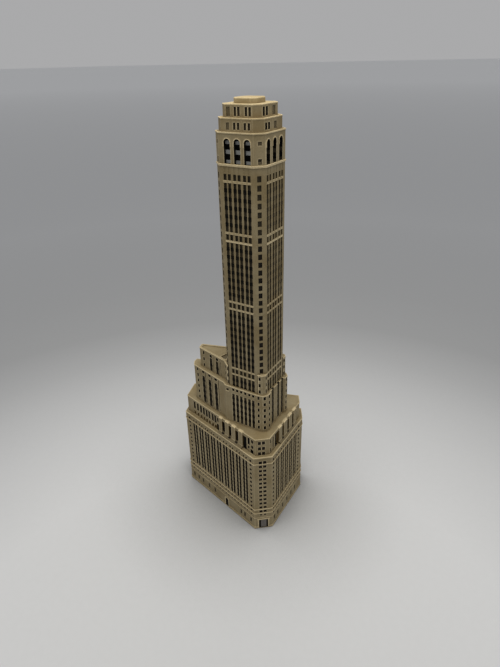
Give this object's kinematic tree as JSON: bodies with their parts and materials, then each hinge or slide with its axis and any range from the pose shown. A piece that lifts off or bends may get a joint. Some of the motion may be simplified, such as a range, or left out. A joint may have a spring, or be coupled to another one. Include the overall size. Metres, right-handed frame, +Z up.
{
  "type": "miniature landmark model",
  "caption": "Tan cast souvenir skyscraper: tall octagonal tower with an arched top storey, rising from a stepped wedge-shaped block with windowed walls.",
  "frame": {"origin": "middle of the base's bounding box, on the surface that the model stands on", "axes": "+Z up along the tower; the tower's wide faces look along X and Y, and the tower's axis is 14.9 mm to +X and 3 mm to -Y of the origin; -Y is the long front, +X the narrow right side"},
  "size_m": [0.0694, 0.0524, 0.225],
  "materials": {
    "cast_stone": "matt cast resin, tan with a darker wash in the recesses",
    "grey_pane": "satin grey paint",
    "dark_door": "satin dark brown paint",
    "steel": "bright zinc-plated",
    "felt": "dense wool felt"
  },
  "bodies": {
    "root": {"base_felt_pad": "felt", "street_storey": "cast_stone", "corner_entrance_panel": "grey_pane", "front_entrance_door": "dark_door", "base_block": "cast_stone", "attic_storey": "cast_stone", "lower_wing": "cast_stone", "upper_wing": "cast_stone", "front_corner_turret": "cast_stone", "rear_corner_turret": "cast_stone", "tower_shaft_lower": "cast_stone", "tower_shaft_middle": "cast_stone", "tower_shaft_upper": "cast_stone", "arcade_storey": "cast_stone", "arcade_glazing_core": "grey_pane", "crown_drum_lower": "cast_stone", "crown_drum_upper": "cast_stone", "roof_cap": "cast_stone", "tie_rod": "steel", "tie_rod_washer": "steel", "tie_rod_nut": "steel", "street_dowel": "steel", "attic_dowel": "steel", "lower_wing_dowel": "steel", "upper_wing_dowel_outer": "steel", "upper_wing_dowel_inner": "steel"}
  },
  "joints": []
}
